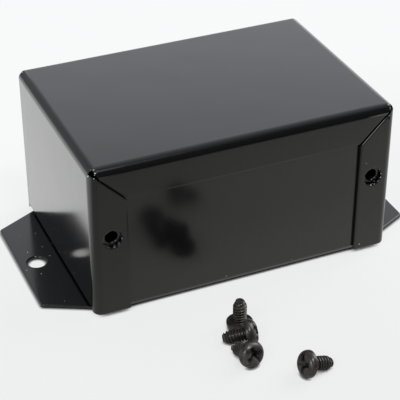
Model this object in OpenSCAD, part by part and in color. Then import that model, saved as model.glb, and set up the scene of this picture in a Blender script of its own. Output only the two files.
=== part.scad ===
// Two-piece folded aluminium enclosure with mounting wings and its four cover screws.
// The origin is the middle of the underside: +X to the right along the front, +Y to the back, +Z up.

/* [Enclosure] */
// Width over the two sides of the cover
box_w = 82.5; // [60:0.5:160]
// Depth over the front and back flanges of the cover
box_d = 57; // [45:0.5:120]
// Height from the underside of the base to the top of the cover
box_h = 43.2; // [36:0.1:90]

/* [Sheet] */
// Thickness of the sheet that both halves are folded from
sheet_t = 1; // [0.6:0.1:1.6]
// Inside radius of every fold
bend_r = 1.3; // [0.4:0.1:2]

/* [Cover] */
// Width of the flanges round the front and back, from the outer faces of the cover
flange_w = 9.5; // [7:0.1:14]
// Width of the slit between two flanges that meet at a corner
mitre_gap = 0.6; // [0.2:0.1:1]
// Diameter of the open corners where three folds meet
corner_hole_d = 1.6; // [1:0.1:4]
// Radius of the ball that rounds such a corner, as a share of the outside radius of the folds
corner_ball = 1.02; // [1.02:0.02:1.2]
// Clearance between the flanges and the walls that slide behind them
slide_gap = 0.15; // [0.1:0.05:0.5]
// Room between the edge of one sheet and the sheet that it ends at
edge_gap = 0.3; // [0.1:0.1:0.6]
// Room between the lower edges of the sides and the wings below them
side_gap = 0.7; // [0.3:0.1:2]
// Height of the lower edges of the flanges above the floor
flange_lift = 0.9; // [0.3:0.1:3]

/* [Mounting wings] */
// How far the wings stand out from the sides of the cover
wing_reach = 11; // [9:0.1:30]
// Length of the outer edge of a wing
wing_end = 36.6; // [14:0.1:40]
// Radius of the outer corners of a wing
wing_corner_r = 1; // [0.5:0.1:3]
// Diameter of the mounting holes
wing_hole_d = 4.8; // [3:0.1:6]
// Distance of a mounting hole from the side of the cover
wing_hole_out = 6.2; // [5:0.1:6.5]

/* [Screw holes] */
// Height of the screw holes above the floor
screw_hole_z = 23; // [10:0.1:28]
// How far the screw holes lie outwards from the middle of the flat of a flange
screw_hole_shift = 0.5; // [-0.4:0.1:0.8]
// How much wider than the thread the clearance holes in the flanges are
clear_gap = 1.4; // [0.4:0.1:2]
// How much narrower than the thread the pilot holes in the walls of the base are
thread_bite = 0.4; // [0.2:0.1:0.8]

/* [Cover screws] */
// Diameter over the thread
thread_d = 3.5; // [2.5:0.1:4]
// Length under the head
shank_len = 6.35; // [5:0.05:12]
// Length of the tapered point
point_len = 1.2; // [0.5:0.1:2]
// Diameter of the flat end of the point
point_d = 2.4; // [1:0.1:2.4]
// Diameter of the head
head_d = 6.7; // [6:0.1:9]
// Height of the head
head_h = 2.2; // [1.8:0.1:3]
// Radius of the rounded shoulder of the head
head_round = 1.7; // [0.6:0.1:1.7]
// Span of the cross recess at the top of the head
recess_span = 4.9; // [2.8:0.1:5.2]
// Span of the cross recess at its bottom
recess_floor = 2; // [1:0.1:2.4]
// Width of the recess slots
recess_slot = 1.2; // [0.6:0.1:1.3]
// Width of the hollow where the slots cross, at the top of the head
recess_core = 2.6; // [1.4:0.1:2.8]
// Depth of the cross recess
recess_depth = 1.7; // [0.8:0.1:1.7]
// Distance of the screw that stands on its head from the front of the cover
stand_front = 16.9; // [8:0.1:40]
// Distance of that screw from the middle of the front, to the left
stand_left = 9.6; // [-30:0.1:30]
// Room between the loose screws where they lie closest
screw_room = 0.1; // [0.1:0.1:5]

/* [Hidden] */
$fn = 64;
// Oversize of cutters past the faces that they go through
cut = 1;
// Overlap of pieces of one sheet that are drawn apart and joined
lap = 1;
// Outside radius of every fold
fold_r = bend_r + sheet_t;
// How far the outside of a corner of three folds lies inside the faces that meet there
corner_in = fold_r * (1 - sqrt(1 / 2));
// Depth of the slits between flanges, down to the inside of such a corner
slit_depth = fold_r - bend_r * sqrt(1 / 2);
// Depth over the walls of the base, which slide behind the flanges
base_d = box_d - 2 * (sheet_t + slide_gap);
// Width of the base between the folds at the corners of the cover
base_w = box_w - 2 * (fold_r + edge_gap);
// Height of the walls of the base, which end below the folds of the cover
wall_h = box_h - fold_r - edge_gap;
// Length of a wing where it leaves the flat of the base
wing_root = base_d - 2 * fold_r;
// Height of the lower edge of the sides, above the wings
side_z = sheet_t + side_gap;
// Distance of a screw hole from the side of the cover
screw_hole_in = (fold_r + flange_w) / 2 - screw_hole_shift;
clear_hole_d = thread_d + clear_gap;
pilot_hole_d = thread_d - thread_bite;
// Lean of a screw that lies on the rim of its head and the end of its thread
lie_tilt = atan((head_d - thread_d) / 2 / (shank_len - point_len));
// Where one loose screw stands on its head, and where its neighbours lie in front of it
standing = [-stand_left, -box_d / 2 - stand_front];
beside = standing + [-head_d / 10, -head_d * 11 / 12 - screw_room];
in_front = beside + [-thread_d * 5 / 6, -shank_len - thread_d / 4 - screw_room];
apart = in_front + [shank_len + head_d * 3 / 4, -head_d - thread_d * 2 / 3];
// Seat of each lying screw, the heading of its point and the turn of its recess
lying_screws = [[beside, 154, 20], [in_front, 103, 15], [apart, 4, 25]];
finish = "#1b1b1d";
screw_finish = "#2a2a2c";

// Solid outline of a folded channel that stands on y = 0, with its upper corners rounded.
module arch(w, h, r) {
    translate([-w / 2, 0]) square([w, h - r]);
    translate([-w / 2 + r, 0]) square([w - 2 * r, h]);
    for (side = [-1, 1])
        translate([side * (w / 2 - r), h - r]) circle(r);
}

// Section of a sheet folded down along both sides.
module channel(w, h) {
    difference() {
        arch(w, h, fold_r);
        translate([0, -cut]) arch(w - 2 * sheet_t, h - sheet_t + cut, bend_r);
    }
}

// Solid outline of a tube with rounded corners.
module tube(w, d, r) {
    square([w - 2 * r, d], center = true);
    square([w, d - 2 * r], center = true);
    for (x = [-1, 1], y = [-1, 1])
        translate([x * (w / 2 - r), y * (d / 2 - r)]) circle(r);
}

// Solid block on z = 0 with its upright and upper edges rounded, so that the folds meet in mitres.
module folded_block(w, d, h, r) {
    intersection() {
        linear_extrude(h) tube(w, d, r);
        rotate([90, 0, 0]) linear_extrude(d, center = true) arch(w, h, r);
        rotate([90, 0, 90]) linear_extrude(w, center = true) arch(d, h, r);
    }
}

// Places a child at the front and, turned about, at the back.
module front_and_back() {
    for (turn = [0, 180])
        rotate(turn) children();
}

// Places a child at the left and, mirrored, at the right.
module left_and_right() {
    for (side = [0, 1])
        mirror([side, 0, 0]) children();
}

// Cutter for the space inside the cover.
module cover_inside() {
    translate([0, 0, -cut])
        folded_block(box_w - 2 * sheet_t, box_d - 2 * sheet_t, box_h - sheet_t + cut, bend_r);
}

// Cutter for the openings that the flanges leave in the front and the back.
module flange_window() {
    w = box_w - 2 * flange_w;
    translate([-w / 2, -box_d / 2 - cut, -cut])
        cube([w, box_d + 2 * cut, box_h - flange_w + cut]);
}

// Cutter below the lower edges of the sides, between the folds of the flanges.
module side_clearance() {
    d = box_d - 2 * (fold_r + edge_gap);
    translate([-box_w / 2 - cut, -d / 2, -cut])
        cube([box_w + 2 * cut, d, side_z + cut]);
}

// Cutter for the open corner at the front left, square to the corner.
module corner_hole() {
    translate([-box_w / 2 + corner_in, -box_d / 2 + corner_in, box_h - corner_in])
        rotate([0, -atan(sqrt(2)), 45])
            cylinder(d = corner_hole_d, h = 2 * (sheet_t + cut), center = true);
}

// Cutter that rounds off the corner at the front left, outside a ball.
module corner_round() {
    translate([-box_w / 2 + fold_r, -box_d / 2 + fold_r, box_h - fold_r])
        difference() {
            translate([-fold_r - cut, -fold_r - cut, 0]) cube(fold_r + cut);
            sphere(r = corner_ball * fold_r);
        }
}

// Slit between the top flange and a side flange, from the open corner inwards.
module mitre_slit() {
    translate([-box_w / 2, -box_d / 2, box_h])
        rotate([0, 45, 0])
            translate([0, -cut, -mitre_gap / 2])
                cube([flange_w * sqrt(2) + mitre_gap, cut + slit_depth, mitre_gap]);
}

// Cutter for a screw hole through the flange at the front left and the wall behind it.
module screw_bore(d) {
    translate([-box_w / 2 + screw_hole_in, -box_d / 2 - cut, screw_hole_z])
        rotate([-90, 0, 0]) cylinder(d = d, h = 2 * (sheet_t + cut) + slide_gap);
}

module cover() {
    color(finish)
        difference() {
            translate([0, 0, flange_lift])
                folded_block(box_w, box_d, box_h - flange_lift, fold_r);
            cover_inside();
            flange_window();
            side_clearance();
            front_and_back()
                left_and_right() {
                    corner_round();
                    mitre_slit();
                    corner_hole();
                    screw_bore(clear_hole_d);
                }
        }
}

// Outline of the left wing, which tapers from the end of the base to round outer corners.
module wing_outline() {
    tip = -box_w / 2 - wing_reach;
    shoulder = -base_w / 2;
    // Lean of the tapered edges, and how far the corner arcs run back along the edges
    lean = atan((wing_root - wing_end) / 2 / (shoulder - tip));
    arc_run = wing_corner_r * tan((90 - lean) / 2);
    half = [
        [shoulder + lap, wing_root / 2],
        [shoulder, wing_root / 2],
        [tip + arc_run * cos(lean), wing_end / 2 + arc_run * sin(lean)],
        [tip, wing_end / 2 - arc_run]
    ];
    for (side = [0, 1])
        mirror([0, side]) {
            polygon([[shoulder + lap, 0], each half, [tip, 0]]);
            translate([tip + wing_corner_r, wing_end / 2 - arc_run]) circle(wing_corner_r);
        }
}

// Bottom and walls of the base.
module base_channel() {
    translate([0, 0, wall_h])
        rotate([90, 0, 90])
            linear_extrude(base_w, center = true)
                mirror([0, 1]) channel(base_d, wall_h);
}

module base() {
    color(finish)
        difference() {
            union() {
                base_channel();
                left_and_right()
                    linear_extrude(sheet_t) wing_outline();
            }
            front_and_back()
                left_and_right() screw_bore(pilot_hole_d);
            left_and_right()
                translate([-box_w / 2 - wing_hole_out, 0, -cut])
                    cylinder(d = wing_hole_d, h = sheet_t + 2 * cut);
        }
}

// Half section of a screw: the seat of the head on y = 0, the head above it and the shank below.
module screw_section() {
    square([head_d / 2, head_h - head_round]);
    square([head_d / 2 - head_round, head_h]);
    intersection() {
        translate([head_d / 2 - head_round, head_h - head_round]) circle(head_round);
        square([head_d / 2, head_h]);
    }
    polygon([
        [0, head_h - head_round],
        [0, -shank_len],
        [point_d / 2, -shank_len],
        [thread_d / 2, -shank_len + point_len],
        [thread_d / 2, head_h - head_round]
    ]);
}

// Cross recess below z = 0: slots and a hollow middle that close in towards the bottom.
module cross_recess() {
    // Sizes of the cutters above the head, along the same tapers
    mouth = recess_span + (recess_span - recess_floor) * cut / recess_depth;
    wide = recess_core + (recess_core - recess_slot) * cut / recess_depth;
    intersection() {
        for (turn = [0, 90])
            rotate(turn)
                translate([-mouth / 2, -recess_slot / 2, -recess_depth])
                    cube([mouth, recess_slot, recess_depth + cut]);
        translate([0, 0, -recess_depth])
            cylinder(d1 = recess_floor, d2 = mouth, h = recess_depth + cut);
    }
    translate([0, 0, -recess_depth])
        cylinder(d1 = recess_slot, d2 = wide, h = recess_depth + cut);
}

// One screw with the seat of its head at the origin and its point down.
module screw() {
    difference() {
        rotate_extrude() screw_section();
        translate([0, 0, head_h]) cross_recess();
    }
}

module cover_screws() {
    color(screw_finish) {
        for (place = lying_screws)
            translate([each place[0], head_d / 2 * cos(lie_tilt)])
                rotate([0, lie_tilt - 90, place[1]])
                    rotate(place[2]) screw();
        translate([each standing, head_h])
            rotate([180, 0, 0]) screw();
    }
}

base();
cover();
cover_screws();
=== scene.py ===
"""Looks of a folded aluminium enclosure: black enamel sheets, threaded cover screws and a pale studio."""

import logging
import math
from collections.abc import Callable, Iterable, Iterator
from contextlib import contextmanager
from dataclasses import dataclass
from enum import Enum
from typing import Any, TypeAlias

import bmesh
import bpy
from mathutils import Euler, Matrix, Vector


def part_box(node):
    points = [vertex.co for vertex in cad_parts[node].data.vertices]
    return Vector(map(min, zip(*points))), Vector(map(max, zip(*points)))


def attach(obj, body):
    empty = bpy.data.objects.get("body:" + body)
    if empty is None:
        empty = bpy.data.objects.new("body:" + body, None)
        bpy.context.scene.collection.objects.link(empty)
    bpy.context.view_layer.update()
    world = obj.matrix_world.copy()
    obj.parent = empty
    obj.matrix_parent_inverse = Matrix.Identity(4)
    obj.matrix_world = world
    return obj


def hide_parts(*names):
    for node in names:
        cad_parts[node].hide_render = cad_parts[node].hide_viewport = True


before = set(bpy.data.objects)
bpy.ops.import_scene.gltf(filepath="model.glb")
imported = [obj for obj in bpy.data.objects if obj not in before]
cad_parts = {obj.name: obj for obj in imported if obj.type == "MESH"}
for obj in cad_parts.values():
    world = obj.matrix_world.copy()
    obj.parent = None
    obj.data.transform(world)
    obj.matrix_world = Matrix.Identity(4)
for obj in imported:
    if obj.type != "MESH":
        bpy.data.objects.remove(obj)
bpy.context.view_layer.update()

LOG = logging.getLogger("enclosure")
MM = 0.001
# Points of a mesh that lie closer than this are one point
WELD = 0.002 * MM
# Attribute that says how deep a point lies in a recess or between threads, where the steel gets painted
# shade
PAINTED_SHADE_ATTRIBUTE = "painted_sunk_shade"

Colour: TypeAlias = tuple[float, float, float]
# Values at which a mask starts and is complete
Span: TypeAlias = tuple[float, float]
Number: TypeAlias = "float | Signal"


class Slot(Enum):
    """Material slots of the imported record."""

    ENAMEL = "black_enamel"
    STEEL = "black_steel"


class Body(Enum):
    """Bodies that the pieces ride on."""

    BASE = "base"
    COVER = "cover"


class Join(Enum):
    """Ways to combine two solids."""

    ADD = "UNION"
    CUT = "DIFFERENCE"


class Signal:
    """An output socket that Python operators combine with numbers and other signals."""

    def __init__(self, graph: "Graph", socket: bpy.types.NodeSocket) -> None:
        """Wraps one output socket of a graph."""
        self.graph = graph
        self.socket = socket

    def __add__(self, other: Number) -> "Signal":
        """Sum."""
        return self.graph.math("ADD", self, other)

    __radd__ = __add__

    def __sub__(self, other: Number) -> "Signal":
        """Difference."""
        return self.graph.math("SUBTRACT", self, other)

    def __rsub__(self, other: Number) -> "Signal":
        """Difference from a number on the left."""
        return self.graph.math("SUBTRACT", other, self)

    def __mul__(self, other: Number) -> "Signal":
        """Product."""
        return self.graph.math("MULTIPLY", self, other)

    __rmul__ = __mul__

    def __or__(self, other: Number) -> "Signal":
        """The larger of two masks."""
        return self.graph.math("MAXIMUM", self, other)

    __ror__ = __or__

    def __gt__(self, other: Number) -> "Signal":
        """One where the signal is the larger, zero elsewhere."""
        return self.graph.math("GREATER_THAN", self, other)

    def __lt__(self, other: Number) -> "Signal":
        """One where the signal is the smaller, zero elsewhere."""
        return self.graph.math("LESS_THAN", self, other)


class Graph:
    """Node tree of a material or of the world, filled through one method."""

    def __init__(self, tree: bpy.types.NodeTree) -> None:
        """Empties a node tree, so that new nodes can go into it."""
        tree.nodes.clear()
        self.tree = tree

    def add(self, kind: str, settings: dict[str, Any] | None = None,
            sockets: dict[str | int, Any] | None = None) -> bpy.types.Node:
        """Adds one node.

        Args:
            kind: Type name of the node.
            settings: Properties that are set before the sockets.
            sockets: Values or signals of the inputs, by name or number.

        Returns:
            The new node.
        """
        node = self.tree.nodes.new(kind)
        for name, value in (settings or {}).items():
            setattr(node, name, value)
        for key, value in (sockets or {}).items():
            if isinstance(value, Signal):
                self.tree.links.new(value.socket, node.inputs[key])
            else:
                node.inputs[key].default_value = value
        return node

    def signals(self, outputs: Iterable[str | int], kind: str, settings: dict[str, Any] | None = None,
                sockets: dict[str | int, Any] | None = None) -> list[Signal]:
        """Adds one node and wraps those of its outputs that are named."""
        node = self.add(kind, settings, sockets)
        return [Signal(self, node.outputs[output]) for output in outputs]

    def signal(self, output: str | int, kind: str, settings: dict[str, Any] | None = None,
               sockets: dict[str | int, Any] | None = None) -> Signal:
        """Adds one node and wraps one of its outputs."""
        return self.signals([output], kind, settings, sockets)[0]

    def math(self, operation: str, first: Number, second: Number) -> Signal:
        """Adds a Math node and wraps its result."""
        return self.signal("Value", "ShaderNodeMath", {"operation": operation}, {0: first, 1: second})

    def distance(self, place: Signal, point: Vector) -> Signal:
        """Measures how far a place is from a point."""
        return self.signal("Value", "ShaderNodeVectorMath", {"operation": "DISTANCE"}, {0: place, 1: point})

    def step(self, value: Signal, low: float, high: float) -> Signal:
        """Rises smoothly from zero to one.

        Args:
            value: What is looked at.
            low: Value that gives zero.
            high: Value that gives one; below low, the step falls instead.

        Returns:
            The mask.
        """
        flip = high < low
        ends = (high, low, 1.0, 0.0) if flip else (low, high, 0.0, 1.0)
        return self.signal("Result", "ShaderNodeMapRange", {"interpolation_type": "SMOOTHSTEP"},
                           {"Value": value, "From Min": ends[0], "From Max": ends[1],
                            "To Min": ends[2], "To Max": ends[3]})

    def noise(self, place: Signal, size: float, detail: float) -> Signal:
        """Makes clouds from zero to one, of a size in metres and with octaves of finer detail."""
        return self.signal("Fac", "ShaderNodeTexNoise", {"noise_dimensions": "3D"},
                           {"Vector": place, "Scale": 1.0 / size, "Detail": detail, "Roughness": 0.5})

    def blend(self, mask: Number, first: "Colour | Signal", second: "Colour | Signal") -> Signal:
        """Mixes two colours: the first where the mask is zero, the second where it is one."""
        ends = [c if isinstance(c, Signal) else (*c, 1.0) for c in (first, second)]
        return self.signal(2, "ShaderNodeMix", {"data_type": "RGBA"}, {0: mask, 6: ends[0], 7: ends[1]})


def new_material(name: str) -> tuple[bpy.types.Material, Graph]:
    """Makes an empty node material.

    Args:
        name: Name of the material.

    Returns:
        The material and its graph.
    """
    material = bpy.data.materials.new(name)
    material.use_nodes = True
    return material, Graph(material.node_tree)


@dataclass(frozen=True)
class BlackEnamel:
    """Stoved black enamel: glossy, with orange peel on wavy sheet, specks of dust and chipped corners that
    are painted glints.
    """

    name: str
    # Upper corner of the cover's box at the back right; the other three are its mirror images
    corner: Vector
    ior: float
    colour: Colour = (0.0035, 0.0035, 0.0037)
    dust: Colour = (0.6, 0.59, 0.56)
    # Pale metal of the chipped spots, a painted highlight that stands in for glints
    chip_glint_colour: Colour = (0.62, 0.62, 0.61)
    roughness: float = 0.15
    # Roughness that dust and the chipped spots, which are painted glints, add
    matt: float = 0.4
    smear: float = 0.04
    smear_size: float = 26 * MM
    peel_size: float = 0.9 * MM
    peel_height: float = 0.0025 * MM
    wave_size: float = 11 * MM
    wave_height: float = 0.03 * MM
    speck_spacing: float = 2.4 * MM
    speck_radius: float = 0.2 * MM
    # Share of a speck's radius inside which it hides the enamel
    speck_core: float = 0.4
    # Dust lies thick up to the wings' height, thin up to the walls' height and not above
    wing_share: float = 0.35
    wing_height: float = 4 * MM
    wall_share: float = 0.02
    wall_height: float = 36 * MM
    # Pale chipped spots around the open corners and at the rims of the screw holes, which paint glints there
    glint_chip_size: float = 0.42 * MM
    glint_chip_limits: Span = (0.64, 0.7)
    glint_chip_reach: float = 2.2 * MM
    corner_inset: float = 1 * MM
    hole_r: float = 2.45 * MM
    hole_inset: float = 5.35 * MM
    hole_height: float = 23 * MM
    rim_width: float = 0.35 * MM

    def material(self) -> bpy.types.Material:
        """Builds the finish.

        Returns:
            The material.
        """
        material, graph = new_material(self.name)
        place = graph.signal("Object", "ShaderNodeTexCoord")
        specks = self._specks(graph, place)
        chip_glints = self._chip_glints(graph, place)
        smear = graph.noise(place, self.smear_size, detail=3.0)
        relief = (self.peel_height * (graph.noise(place, self.peel_size, detail=1.0) + specks)
                  + self.wave_height * graph.noise(place, self.wave_size, detail=0.0))
        bump = graph.signal("Normal", "ShaderNodeBump", None,
                            {"Height": relief, "Distance": 1.0, "Strength": 1.0})
        dusty = graph.blend(specks, self.colour, self.dust)
        # The chipped spots paint pale glints into the colour of the enamel
        paint = graph.signal("BSDF", "ShaderNodeBsdfPrincipled", None, {
            "Base Color": graph.blend(chip_glints, dusty, self.chip_glint_colour),
            "Roughness": self.roughness + self.smear * (smear - 0.5) + self.matt * (specks | chip_glints),
            "IOR": self.ior, "Normal": bump})
        graph.add("ShaderNodeOutputMaterial", None, {"Surface": paint})
        return material

    def _specks(self, graph: Graph, place: Signal) -> Signal:
        """Mask of sparse dust.

        Args:
            graph: Graph of the finish.
            place: Object coordinates.

        Returns:
            One on a speck, zero elsewhere.
        """
        far, cell = graph.signals(("Distance", "Color"), "ShaderNodeTexVoronoi", {"feature": "F1"},
                                  {"Vector": place, "Scale": 1.0 / self.speck_spacing})
        reach = self.speck_radius / self.speck_spacing
        near = graph.step(far, reach, self.speck_core * reach)
        chance = graph.signal("Red", "ShaderNodeSeparateColor", None, {"Color": cell})
        height = graph.signal("Z", "ShaderNodeSeparateXYZ", None, {"Vector": place})
        share = (self.wall_share * (height < self.wall_height)
                 + (self.wing_share - self.wall_share) * (height < self.wing_height))
        return near * (chance > 1.0 - share)

    def _chip_glints(self, graph: Graph, place: Signal) -> Signal:
        """Mask of pale chipped metal at the open corners and at the rims of the screw holes, which paints
        glints.

        Args:
            graph: Graph of the finish.
            place: Object coordinates.

        Returns:
            One where the enamel is chipped off and a glint is painted, zero elsewhere.
        """
        corner = self.corner - Vector((1, 1, 1)) * self.corner_inset
        hole = Vector((self.corner.x - self.hole_inset, 0, self.hole_height))
        mirrored = graph.signal("Vector", "ShaderNodeVectorMath", {"operation": "ABSOLUTE"}, {0: place})
        far = graph.distance(mirrored, corner)
        around = graph.signal("Vector", "ShaderNodeVectorMath", {"operation": "MULTIPLY"},
                              {0: mirrored, 1: (1.0, 0.0, 1.0)})
        ring = graph.distance(around, hole)
        rim = (graph.step(ring, self.hole_r - self.rim_width, self.hole_r)
               * graph.step(ring, self.hole_r + self.rim_width, self.hole_r))
        likely = graph.step(far, self.glint_chip_reach, self.glint_chip_reach / 2) | rim
        return graph.step(graph.noise(place, self.glint_chip_size, detail=0.0) * likely, *self.glint_chip_limits)


@dataclass(frozen=True)
class BlackSteel:
    """Blackened steel of the screws: a thin brown-black oxide with rubbed, brighter patches, and painted
    shade in the recess and the thread.
    """

    name: str = "black_steel"
    dark: Colour = (0.032, 0.027, 0.024)
    rubbed: Colour = (0.07, 0.062, 0.056)
    # Colour of the painted shade in the recess and between the threads
    painted_sunk_shade: Colour = (0.008, 0.007, 0.0065)
    metallic: float = 0.4
    roughness: float = 0.3
    # How much the roughness changes from patch to patch, and what a recess adds
    patch_rough: float = 0.16
    sunk_rough: float = 0.15
    patch_size: float = 1.6 * MM
    patch_limits: Span = (0.4, 0.7)
    grain_size: float = 0.12 * MM
    grain_height: float = 0.004 * MM

    def material(self) -> bpy.types.Material:
        """Builds the finish.

        Returns:
            The material.
        """
        material, graph = new_material(self.name)
        place = graph.signal("Object", "ShaderNodeTexCoord")
        patch = graph.noise(place, self.patch_size, detail=3.0)
        grain = graph.noise(place, self.grain_size, detail=2.0)
        bump = graph.signal("Normal", "ShaderNodeBump", None,
                            {"Height": grain, "Distance": self.grain_height, "Strength": 1.0})
        # How deep a point lies, which paints shade: darker, less metallic steel in the recess and the thread
        deep = graph.signal("Fac", "ShaderNodeAttribute", {"attribute_name": PAINTED_SHADE_ATTRIBUTE})
        worn = graph.blend(graph.step(patch, *self.patch_limits), self.dark, self.rubbed)
        metal = graph.signal("BSDF", "ShaderNodeBsdfPrincipled", None, {
            "Base Color": graph.blend(deep, worn, self.painted_sunk_shade), "Metallic": self.metallic * (1.0 - deep),
            "Roughness": self.roughness + self.patch_rough * (patch - 0.5) + self.sunk_rough * deep,
            "Normal": bump})
        graph.add("ShaderNodeOutputMaterial", None, {"Surface": metal})
        return material


@dataclass(frozen=True)
class PaperFloor:
    """Matt white paper: evened out by a glow for the eye, with painted shade, and a painted reflection
    brighter behind the object.
    """

    name: str = "paper_floor"
    colour: Colour = (0.84, 0.84, 0.845)
    roughness: float = 0.9
    specular: float = 0.1
    # Share of an even glow in what the eye sees of the paper
    evened: float = 0.86
    warm: Colour = (1.0, 0.995, 0.955)
    cool: Colour = (0.995, 0.997, 1.0)
    # Strength of the glow for the eye, from the front to the back: painted light, brighter at the back
    seen_front: float = 0.825
    seen_back: float = 0.935
    seen_depths: Span = (-120 * MM, 100 * MM)
    # Strength of the glow that the enamel mirrors, a painted reflection, and where it comes in at the back
    # left
    mirrored_front: float = 0.64
    mirrored_back: float = 1.61
    behind: Span = (22 * MM, 80 * MM)
    # Shares of the mirrored glow in front, each with the depths at which it comes in
    front_shares: tuple[tuple[float, Span], ...] = (
        (0.7, (-175 * MM, -60 * MM)), (0.3, (-300 * MM, -120 * MM)), (0.2, (-60 * MM, -30 * MM)))
    # Share of it at the left, and what it gains from left to right
    left_share: float = 0.78
    right_gain: float = 0.5
    left_to_right: Span = (-80 * MM, 110 * MM)
    # Reach of the painted shade where a piece touches the paper, and of the wider painted shade around it
    contact: float = 0.75 * MM
    shade: float = 9 * MM
    shade_samples: int = 8
    # Openness at which the wider shade is full for the eye, and at which it ends
    shade_limits: Span = (0.1, 0.45)
    # Behind these depths, the mirrored glow is free of the wider shade
    shade_depths: Span = (-42 * MM, -36 * MM)

    def material(self) -> bpy.types.Material:
        """Builds the finish.

        Returns:
            The material.
        """
        material, graph = new_material(self.name)
        paper = graph.signal("BSDF", "ShaderNodeBsdfPrincipled", None, {
            "Base Color": (*self.colour, 1.0), "Roughness": self.roughness,
            "Specular IOR Level": self.specular})
        place = graph.signal("Object", "ShaderNodeTexCoord")
        side, back = graph.signals("XY", "ShaderNodeSeparateXYZ", None, {"Vector": place})
        behind = graph.step(back - side, *self.behind)
        before = sum(share * graph.step(back, *depths) for share, depths in self.front_shares)
        before = before * (self.left_share + self.right_gain * graph.step(side, *self.left_to_right))
        eye, mirror = graph.signals(("Is Camera Ray", "Is Glossy Ray"), "ShaderNodeLightPath")
        seen = self.seen_front + (self.seen_back - self.seen_front) * graph.step(back, *self.seen_depths)
        mirrored = self.mirrored_front * before + (self.mirrored_back - self.mirrored_front) * behind
        open_sky, free = (
            graph.signal("AO", "ShaderNodeAmbientOcclusion", {"samples": self.shade_samples},
                         {"Distance": reach})
            for reach in (self.contact, self.shade))
        mirrored = mirrored * (free | graph.step(back, *self.shade_depths))
        seen = eye * seen * graph.step(free, *self.shade_limits)
        # Emission of the paper: an even glow for the eye and a painted reflection for glossy rays, both with
        # painted shade where pieces touch and crowd
        glow = graph.signal("Emission", "ShaderNodeEmission", None, {
            "Color": graph.blend(eye | behind, self.warm, self.cool),
            "Strength": open_sky * open_sky * (seen + mirror * mirrored)})
        floor = graph.signal("Shader", "ShaderNodeMixShader", None,
                             {0: self.evened * eye | mirror, 1: paper, 2: glow})
        graph.add("ShaderNodeOutputMaterial", None, {"Surface": floor})
        return material


def pick(obj: bpy.types.Object) -> None:
    """Selects one object alone and makes it active.

    Args:
        obj: Object that the next operators act on.
    """
    bpy.ops.object.select_all(action="DESELECT")
    obj.select_set(True)
    bpy.context.view_layer.objects.active = obj


@contextmanager
def editing(obj: bpy.types.Object) -> Iterator[None]:
    """Opens an object in edit mode for a while.

    Args:
        obj: Mesh object that is worked on.
    """
    pick(obj)
    bpy.ops.object.mode_set(mode="EDIT")
    yield
    bpy.ops.object.mode_set(mode="OBJECT")


def choose_points(obj: bpy.types.Object, test: Callable[[Vector], bool]) -> None:
    """Selects, in edit mode, the points that pass a test and the edges and faces between them.

    Args:
        obj: Object in edit mode.
        test: Says whether a point is chosen.
    """
    bpy.ops.mesh.select_mode(type="VERT")
    mesh = bmesh.from_edit_mesh(obj.data)
    for vertex in mesh.verts:
        vertex.select_set(test(vertex.co))
    mesh.select_flush_mode()
    mesh.select_flush(True)
    bmesh.update_edit_mesh(obj.data)


def choose_edges(obj: bpy.types.Object, test: Callable[[bmesh.types.BMEdge], bool]) -> None:
    """Selects, in edit mode, the edges that pass a test.

    Args:
        obj: Object in edit mode.
        test: Says whether an edge is chosen.
    """
    bpy.ops.mesh.select_mode(type="EDGE")
    bpy.ops.mesh.select_all(action="DESELECT")
    mesh = bmesh.from_edit_mesh(obj.data)
    for edge in filter(test, mesh.edges):
        edge.select_set(True)
    bmesh.update_edit_mesh(obj.data)


def clean_mesh(weld: float) -> None:
    """Welds, in edit mode, points that fall together and clears the faces that collapse.

    Args:
        weld: Distance under which two points are one.
    """
    bpy.ops.mesh.select_mode(type="VERT")
    bpy.ops.mesh.select_all(action="SELECT")
    bpy.ops.mesh.remove_doubles(threshold=weld)
    bpy.ops.mesh.dissolve_degenerate(threshold=weld)


def apply_modifier(obj: bpy.types.Object, kind: str, settings: dict[str, Any]) -> None:
    """Adds a modifier and applies it at once.

    Args:
        obj: Object that is changed.
        kind: Type of the modifier.
        settings: Its properties.
    """
    pick(obj)
    modifier = obj.modifiers.new(kind.lower(), kind)
    for name, value in settings.items():
        setattr(modifier, name, value)
    bpy.ops.object.modifier_apply(modifier=modifier.name)


def combine(obj: bpy.types.Object, other: bpy.types.Object, join: Join) -> None:
    """Adds another object to an object or cuts it out, and throws the other one away."""
    apply_modifier(obj, "BOOLEAN", {"object": other, "operation": join.value, "solver": "EXACT"})
    bpy.data.objects.remove(other)


def smooth(obj: bpy.types.Object, sharp_deg: float) -> None:
    """Shades an object smoothly, apart from edges that turn by more than an angle."""
    pick(obj)
    bpy.ops.object.shade_smooth_by_angle(angle=math.radians(sharp_deg))


def set_place(obj: bpy.types.Object, place: Matrix) -> None:
    """Moves an object and puts the move into its mesh.

    Args:
        obj: Object at the origin.
        place: Where it goes.
    """
    obj.matrix_world = place
    pick(obj)
    bpy.ops.object.transform_apply(location=True, rotation=True, scale=True)


def copy_mesh(source: bpy.types.Object, name: str) -> bpy.types.Object:
    """Makes a new object at the origin from a copy of another one's mesh.

    Args:
        source: Object whose mesh is copied.
        name: Name of the new object.

    Returns:
        The new object.
    """
    copy = bpy.data.objects.new(name, source.data.copy())
    bpy.context.scene.collection.objects.link(copy)
    return copy


def put_on(obj: bpy.types.Object, material: bpy.types.Material) -> None:
    """Gives an object one material in place of all others."""
    obj.data.materials.clear()
    obj.data.materials.append(material)


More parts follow.
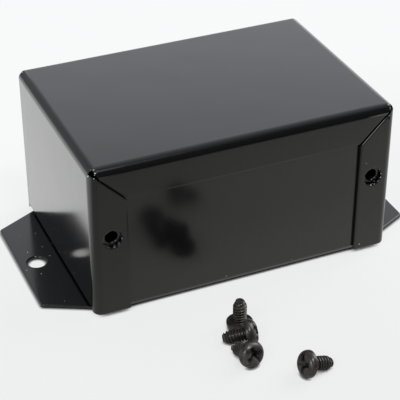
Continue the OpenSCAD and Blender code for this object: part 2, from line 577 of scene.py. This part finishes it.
@dataclass
class FoldedSheet:
    """One folded half of the enclosure, with the edges of the sheet rounded by the enamel."""

    node: str
    body: Body
    piece: str
    # Upper corner of the cover's box at the back right; the other three are its mirror images
    corner: Vector
    enamel_ior: float
    # Edges within this reach of a corner stay as the solid has them
    corner_reach: float = 3.6 * MM
    # How far from a corner the folds are parted, along each axis
    corner_size: Vector = Vector((8.75, 8.75, 4.0)) * MM
    edge_round: float = 0.4 * MM
    round_steps: int = 3
    # Faces that turn by less than the first angle are one; edges that turn by more than the second are sharp
    flat_deg: float = 0.5
    sharp_deg: float = 40.0

    def build(self) -> bpy.types.Object:
        """Makes a clean sheet from the solid and rounds its edges.

        Returns:
            The piece.
        """
        sheet = copy_mesh(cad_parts[self.node], self.piece)
        with editing(sheet):
            bpy.ops.mesh.select_all(action="SELECT")
            bpy.ops.mesh.remove_doubles(threshold=WELD)
            bpy.ops.mesh.dissolve_limited(angle_limit=math.radians(self.flat_deg))
            self._part_folds()
            choose_edges(sheet, self._is_cut_edge)
            bpy.ops.mesh.bevel(offset=self.edge_round, segments=self.round_steps, profile=0.5,
                               affect="EDGES", clamp_overlap=False, miter_outer="ARC")
            clean_mesh(WELD)
        smooth(sheet, self.sharp_deg)
        apply_modifier(sheet, "WEIGHTED_NORMAL", {"mode": "FACE_AREA", "weight": 100, "keep_sharp": True})
        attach(sheet, self.body.value)
        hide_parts(self.node)
        return sheet

    def _part_folds(self) -> None:
        """Parts, in edit mode, the long strips of the folds, so that a corner's shading ends near it."""
        for axis, at in enumerate(self.corner - self.corner_size):
            across = Vector()
            across[axis] = 1.0
            for side in (-at, at):
                bpy.ops.mesh.select_all(action="SELECT")
                bpy.ops.mesh.bisect(plane_co=across * side, plane_no=across, threshold=WELD)

    def _is_cut_edge(self, edge: bmesh.types.BMEdge) -> bool:
        """Tells the cut edges of the sheet, clear of the corners where three folds meet.

        Args:
            edge: Edge of the sheet.

        Returns:
            Whether the enamel rounds this edge.
        """
        middle = (edge.verts[0].co + edge.verts[1].co) / 2
        apart = Vector(map(abs, middle)) - self.corner
        return apart.length > self.corner_reach and edge.calc_face_angle(0.0) > math.radians(self.sharp_deg)

    def dress(self, sheet: bpy.types.Object) -> None:
        """Enamels the sheet."""
        put_on(sheet, BlackEnamel(f"{self.node}_enamel", self.corner, self.enamel_ior).material())


@dataclass
class PanScrew:
    """A pan-head machine screw in millimetres, its seat at the origin and its point down."""

    thread_d: float = 3.5
    root_d: float = 2.8
    pitch: float = 0.79
    crest: float = 0.17
    flank_deg: float = 30.0
    thread_steps: int = 40
    thread_weld: float = 0.0005
    shank_len: float = 6.35
    point_len: float = 1.2
    point_d: float = 2.2
    # Reach of the point's taper, which fades out softly, in lengths of the point
    point_fade: float = 1.6
    head_d: float = 6.7
    head_h: float = 2.2
    head_sides: int = 64
    # Width of a rounded rim and its steps, for the top of the head and for its seat
    head_round: float = 1.7
    head_steps: int = 8
    seat_round: float = 0.15
    seat_steps: int = 2
    recess_span: float = 4.9
    recess_floor: float = 2.0
    recess_slot: float = 1.2
    recess_core: float = 2.6
    recess_depth: float = 1.7
    core_sides: int = 48
    # Share of the recess's depth below which its painted shade is full
    full_shade_share: float = 0.4
    # Points this far outside the mouth of the recess still count as part of it
    mouth_margin: float = 0.1
    # Points this near the level of the seat lie neither in the recess nor in the thread
    seat_margin: float = 0.05
    # Points this near a level lie on it
    touch: float = 0.01
    smooth_deg: float = 32.0

    def build(self, name: str) -> bpy.types.Object:
        """Models the screw and brings it to metres.

        Args:
            name: Name of the piece.

        Returns:
            The screw.
        """
        screw = self._head()
        screw.name = name
        self._cut_recess(screw)
        combine(screw, self._shank(), Join.ADD)
        with editing(screw):
            clean_mesh(WELD / MM)
        self._mark_depth(screw)
        set_place(screw, Matrix.Scale(MM, 4))
        smooth(screw, self.smooth_deg)
        return screw

    def _head(self) -> bpy.types.Object:
        """Models the head without its recess.

        Returns:
            The head.
        """
        bpy.ops.mesh.primitive_cylinder_add(vertices=self.head_sides, radius=self.head_d / 2,
                                            depth=self.head_h, location=(0, 0, self.head_h / 2))
        head = bpy.context.object
        set_place(head, head.matrix_world.copy())
        rims = ((self.head_h, self.head_round, self.head_steps), (0.0, self.seat_round, self.seat_steps))
        with editing(head):
            for level, width, steps in rims:
                choose_points(head, lambda p: abs(p.z - level) < self.touch)
                bpy.ops.mesh.bevel(offset=width, segments=steps, profile=0.5, affect="EDGES")
        return head

    def _cut_recess(self, head: bpy.types.Object) -> None:
        """Sinks the tapered cross into the top of the head.

        Args:
            head: The head.
        """
        # The cutters stand out of the head by this much, and their taper goes on up there
        above = 1.0
        depth = self.recess_depth + above
        middle = (0, 0, self.head_h + above - depth / 2)
        floor = self.head_h - self.recess_depth
        mouth = self.recess_span + (self.recess_span - self.recess_floor) * above / self.recess_depth
        narrow = self.recess_floor / mouth
        for turn in (0.0, math.pi / 2):
            bpy.ops.mesh.primitive_cube_add(size=1, location=middle)
            cutter = bpy.context.object
            cutter.scale = (mouth, self.recess_slot, depth)
            cutter.rotation_euler.z = turn
            bpy.ops.object.transform_apply(location=True, rotation=True, scale=True)
            with editing(cutter):
                choose_points(cutter, lambda p: p.z < floor + self.touch)
                bpy.ops.transform.resize(value=(1 if turn else narrow, narrow if turn else 1, 1),
                                         center_override=(0, 0, floor))
            combine(head, cutter, Join.CUT)
        wide = self.recess_core + (self.recess_core - self.recess_slot) * above / self.recess_depth
        bpy.ops.mesh.primitive_cone_add(vertices=self.core_sides, radius1=self.recess_slot / 2,
                                        radius2=wide / 2, depth=depth, location=middle)
        combine(head, bpy.context.object, Join.CUT)

    def _mark_depth(self, screw: bpy.types.Object) -> None:
        """Notes for every point how deep it lies, from zero outside to one at the bottom, which the steel
        paints as shade.

        Args:
            screw: The screw in millimetres.
        """
        marks = screw.data.attributes.new(PAINTED_SHADE_ATTRIBUTE, "FLOAT", "POINT")
        depths = [min(max(self._depth(v.co), 0.0), 1.0) for v in screw.data.vertices]
        marks.data.foreach_set("value", depths)

    def _depth(self, point: Vector) -> float:
        """Depth of a point under the outer form of the head or of the thread.

        Args:
            point: Point of the screw.

        Returns:
            The depth as a share of the fully shaded part of the recess or of the thread's depth.
        """
        radius = point.to_2d().length
        if point.z > self.seat_margin:
            if radius >= self.recess_span / 2 + self.mouth_margin:
                return 0.0
            over = max(radius - self.head_d / 2 + self.head_round, 0.0)
            top = self.head_h - self.head_round + math.sqrt(max(self.head_round ** 2 - over ** 2, 0.0))
            return (top - point.z) / (self.full_shade_share * self.recess_depth)
        if point.z > -self.seat_margin:
            return 0.0
        # The thread's outside narrows by the same smooth falloff as in _shank
        near = max(1.0 - (point.z + self.shank_len) / (self.point_fade * self.point_len), 0.0)
        taper = 1.0 - (1.0 - self.point_d / self.thread_d) * near * near * (3.0 - 2.0 * near)
        return (self.thread_d / 2 * taper - radius) / (self.thread_d - self.root_d) * 2.0

    def _shank(self) -> bpy.types.Object:
        """Winds the thread, cuts its ends and tapers its point.

        Returns:
            The shank.
        """
        # Depth of the shank in the head, and turns that are wound past each end and cut off
        overlap = 0.3
        spare = 2
        turns = math.ceil((self.shank_len + overlap) / self.pitch) + 2 * spare
        bottom = -self.shank_len - spare * self.pitch
        rise = (self.thread_d - self.root_d) / 2
        flank = rise * math.tan(math.radians(self.flank_deg))
        flat = self.pitch - 2 * flank - self.crest
        bpy.ops.mesh.primitive_plane_add(size=1, location=(0, 0, 0))
        shank = bpy.context.object
        with editing(shank):
            bpy.ops.mesh.select_all(action="SELECT")
            bpy.ops.mesh.merge(type="CENTER")
            bpy.ops.transform.translate(value=(self.root_d / 2, 0, bottom))
            for out, up in ((0, flat), (rise, flank), (0, self.crest), (-rise, flank)):
                bpy.ops.mesh.extrude_region_move(TRANSFORM_OT_translate={"value": (out, 0, up)})
        apply_modifier(shank, "SCREW", {
            "axis": "Z", "angle": 2 * math.pi, "screw_offset": self.pitch, "iterations": turns,
            "steps": self.thread_steps, "render_steps": self.thread_steps,
            "use_merge_vertices": True, "merge_threshold": self.thread_weld})
        with editing(shank):
            for level, outer in ((overlap, True), (-self.shank_len, False)):
                bpy.ops.mesh.select_all(action="SELECT")
                bpy.ops.mesh.bisect(plane_co=(0, 0, level), plane_no=(0, 0, 1), use_fill=True,
                                    clear_outer=outer, clear_inner=not outer, threshold=self.thread_weld)
            choose_points(shank, lambda p: p.z < -self.shank_len + self.touch)
            small = self.point_d / self.thread_d
            bpy.ops.transform.resize(value=(small, small, 1), center_override=(0, 0, -self.shank_len),
                                     use_proportional_edit=True, proportional_edit_falloff="SMOOTH",
                                     proportional_size=self.point_fade * self.point_len)
            bpy.ops.mesh.select_all(action="SELECT")
            bpy.ops.mesh.remove_doubles(threshold=2 * self.thread_weld)
            bpy.ops.mesh.normals_make_consistent(inside=False)
        return shank


@dataclass
class CoverScrews:
    """The four cover screws, loose on the floor in front of the enclosure."""

    shape: PanScrew
    # Where the cover's front face lies
    front: float
    # Place of the screw on its head, in front of the cover and left of its middle
    stand_front: float = 16.9 * MM
    stand_left: float = 9.6 * MM
    room: float = 0.1 * MM
    # Degrees that the lying screws point to and are rolled by
    headings: tuple[float, float, float] = (154, 103, 4)
    turns: tuple[float, float, float] = (20, 15, 25)

    def places(self) -> list[Matrix]:
        """Works out how the screws lie.

        Returns:
            The place of each screw: one on its head, then three on their sides.
        """
        shape = self.shape
        head, thread, shank = (size * MM for size in (shape.head_d, shape.thread_d, shape.shank_len))
        lean = math.atan((head - thread) / 2 / (shank - shape.point_len * MM))
        stand = Vector((-self.stand_left, self.front - self.stand_front))
        beside = stand + Vector((-head / 10, -head * 11 / 12 - self.room))
        in_front = beside + Vector((-thread * 5 / 6, -shank - thread / 4 - self.room))
        apart = in_front + Vector((shank + head * 3 / 4, -head - thread * 2 / 3))
        upright = Matrix.Translation((*stand, shape.head_h * MM)) @ Matrix.Rotation(math.pi, 4, "X")
        lying = [
            Matrix.Translation((*seat, head / 2 * math.cos(lean)))
            @ Euler((0, lean - math.pi / 2, math.radians(heading))).to_matrix().to_4x4()
            @ Matrix.Rotation(math.radians(turn), 4, "Z")
            for seat, heading, turn in zip((beside, in_front, apart), self.headings, self.turns)
        ]
        return [upright, *lying]

    def build(self) -> list[bpy.types.Object]:
        """Models one screw, copies it and lays the copies down.

        Returns:
            The screws.
        """
        pattern = self.shape.build("screw_pattern")
        screws = []
        for number, place in enumerate(self.places(), 1):
            screw = copy_mesh(pattern, f"cover_screw_{number}")
            set_place(screw, place)
            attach(screw, Body.BASE.value)
            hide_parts("cover_screws")
            screws.append(screw)
        bpy.data.objects.remove(pattern)
        return screws

    def dress(self, screws: list[bpy.types.Object]) -> None:
        """Blackens the screws.

        Args:
            screws: The pieces.
        """
        steel = BlackSteel().material()
        for screw in screws:
            put_on(screw, steel)


def stand_up(name: str, data: bpy.types.ID, place: Vector, aim: Vector) -> bpy.types.Object:
    """Stands a lamp or a camera in the scene and turns it to a point.

    Args:
        name: Name of the object.
        data: The lamp or the camera.
        place: Where it stands.
        aim: Point that it faces.

    Returns:
        The object.
    """
    thing = bpy.data.objects.new(name, data)
    thing.location = place
    thing.rotation_euler = (aim - place).to_track_quat("-Z", "Y").to_euler()
    bpy.context.scene.collection.objects.link(thing)
    return thing


@dataclass(frozen=True)
class Softbox:
    """A large, square soft lamp that points at the enclosure."""

    name: str
    place: Vector
    size: float
    radiance: float

    def build(self, aim: Vector) -> None:
        """Sets the lamp up.

        Args:
            aim: Point that it faces.
        """
        data = bpy.data.lights.new(self.name, "AREA")
        data.shape = "SQUARE"
        data.size = self.size
        data.energy = self.radiance * math.pi * self.size ** 2
        stand_up(self.name, data, self.place, aim)


@dataclass(frozen=True)
class Surroundings:
    """Light from all round: a glow at the back, a pale band low down, a dark ceiling and a dark front."""

    colour: Colour = (0.9, 0.94, 1.0)
    # Strength of what the eye sees, of the ceiling, of the glow and of the band
    seen: float = 0.94
    ceiling: float = 0.07
    glow: float = 0.94
    band: float = 0.55
    # The glow comes in from front to back and, past its share at the left, from left to right
    glow_depths: Span = (-0.6, 0.6)
    glow_left: float = 0.33
    glow_sides: Span = (-0.45, 0.3)
    # Lower down the glow gains, and still lower the band comes in
    low_gain: float = 0.75
    glow_heights: Span = (0.58, 0.4)
    band_heights: Span = (0.45, 0.25)
    # The band leaves out the dark front, which lies this way to the right and forwards
    dark_right: float = 0.35
    dark_forwards: float = 0.94
    dark_limits: Span = (0.7, 0.92)

    def build(self) -> None:
        """Makes the world of the scene."""
        world = bpy.data.worlds.new("studio")
        world.use_nodes = True
        bpy.context.scene.world = world
        graph = Graph(world.node_tree)
        way = graph.signal("Generated", "ShaderNodeTexCoord")
        side, back, up = graph.signals("XYZ", "ShaderNodeSeparateXYZ", None, {"Vector": way})
        glow = graph.step(back, *self.glow_depths) * (
            self.glow_left + (1.0 - self.glow_left) * graph.step(side, *self.glow_sides))
        glow = glow * (1.0 + self.low_gain * graph.step(up, *self.glow_heights))
        dark_front = graph.step(self.dark_right * side - self.dark_forwards * back, *self.dark_limits)
        band = graph.step(up, *self.band_heights) * (1.0 - dark_front)
        eye = graph.signal("Is Camera Ray", "ShaderNodeLightPath")
        room = self.ceiling + (self.glow * glow | self.band * band)
        strength = eye * self.seen + (1.0 - eye) * room
        light = graph.signal("Background", "ShaderNodeBackground", None,
                             {"Color": (*self.colour, 1.0), "Strength": strength})
        graph.add("ShaderNodeOutputWorld", None, {"Surface": light})


@dataclass
class Studio:
    """Paper floor, surroundings, soft lamps and camera."""

    floor_size: float = 8.0
    camera_place: Vector = Vector((-126.2, -290.1, 214.6)) * MM
    camera_aim: Vector = Vector((-0.63, -0.02, 8.3)) * MM
    lens: float = 125.0
    sensor: float = 36.0
    clip_near: float = 10 * MM
    lamps: tuple[Softbox, ...] = (
        Softbox("lamp_left", Vector((-1.3, -0.9, 1.3)), size=0.7, radiance=9.0),
        Softbox("lamp_top", Vector((0.11, -0.65, 1.4)), size=0.3, radiance=34.0),
        Softbox("lamp_right", Vector((1.6, 0.2, 1.2)), size=1.2, radiance=4.5))

    def build(self) -> None:
        """Sets up floor, surroundings, lamps and camera."""
        self._floor()
        Surroundings().build()
        for lamp in self.lamps:
            lamp.build(self.camera_aim)
        self._camera()
        bpy.context.scene.view_settings.view_transform = "Standard"

    def _floor(self) -> None:
        """Lays the paper floor."""
        bpy.ops.object.select_all(action="DESELECT")
        bpy.ops.mesh.primitive_plane_add(size=self.floor_size, location=(0, 0, 0))
        floor = bpy.context.object
        floor.name = "floor"
        put_on(floor, PaperFloor().material())

    def _camera(self) -> None:
        """Places the camera at the photograph's point of view."""
        data = bpy.data.cameras.new("camera")
        data.lens = self.lens
        data.sensor_width = self.sensor
        data.clip_start = self.clip_near
        bpy.context.scene.camera = stand_up("camera", data, self.camera_place, self.camera_aim)


def report(piece: bpy.types.Object) -> None:
    """Logs the name of a piece and the number of its faces."""
    LOG.info("%s: %d faces", piece.name, len(piece.data.polygons))


def main() -> None:
    """Builds and dresses every piece, then the studio."""
    logging.basicConfig(level=logging.INFO, format="%(name)s: %(message)s")
    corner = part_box("cover")[1]
    for half in (FoldedSheet("base", Body.BASE, "base_sheet", corner, enamel_ior=1.54),
                 FoldedSheet("cover", Body.COVER, "cover_sheet", corner, enamel_ior=1.5)):
        sheet = half.build()
        half.dress(sheet)
        report(sheet)
    loose = CoverScrews(PanScrew(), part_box("cover")[0].y)
    screws = loose.build()
    loose.dress(screws)
    for screw in screws:
        report(screw)
    Studio().build()


if __name__ == "__main__":
    main()
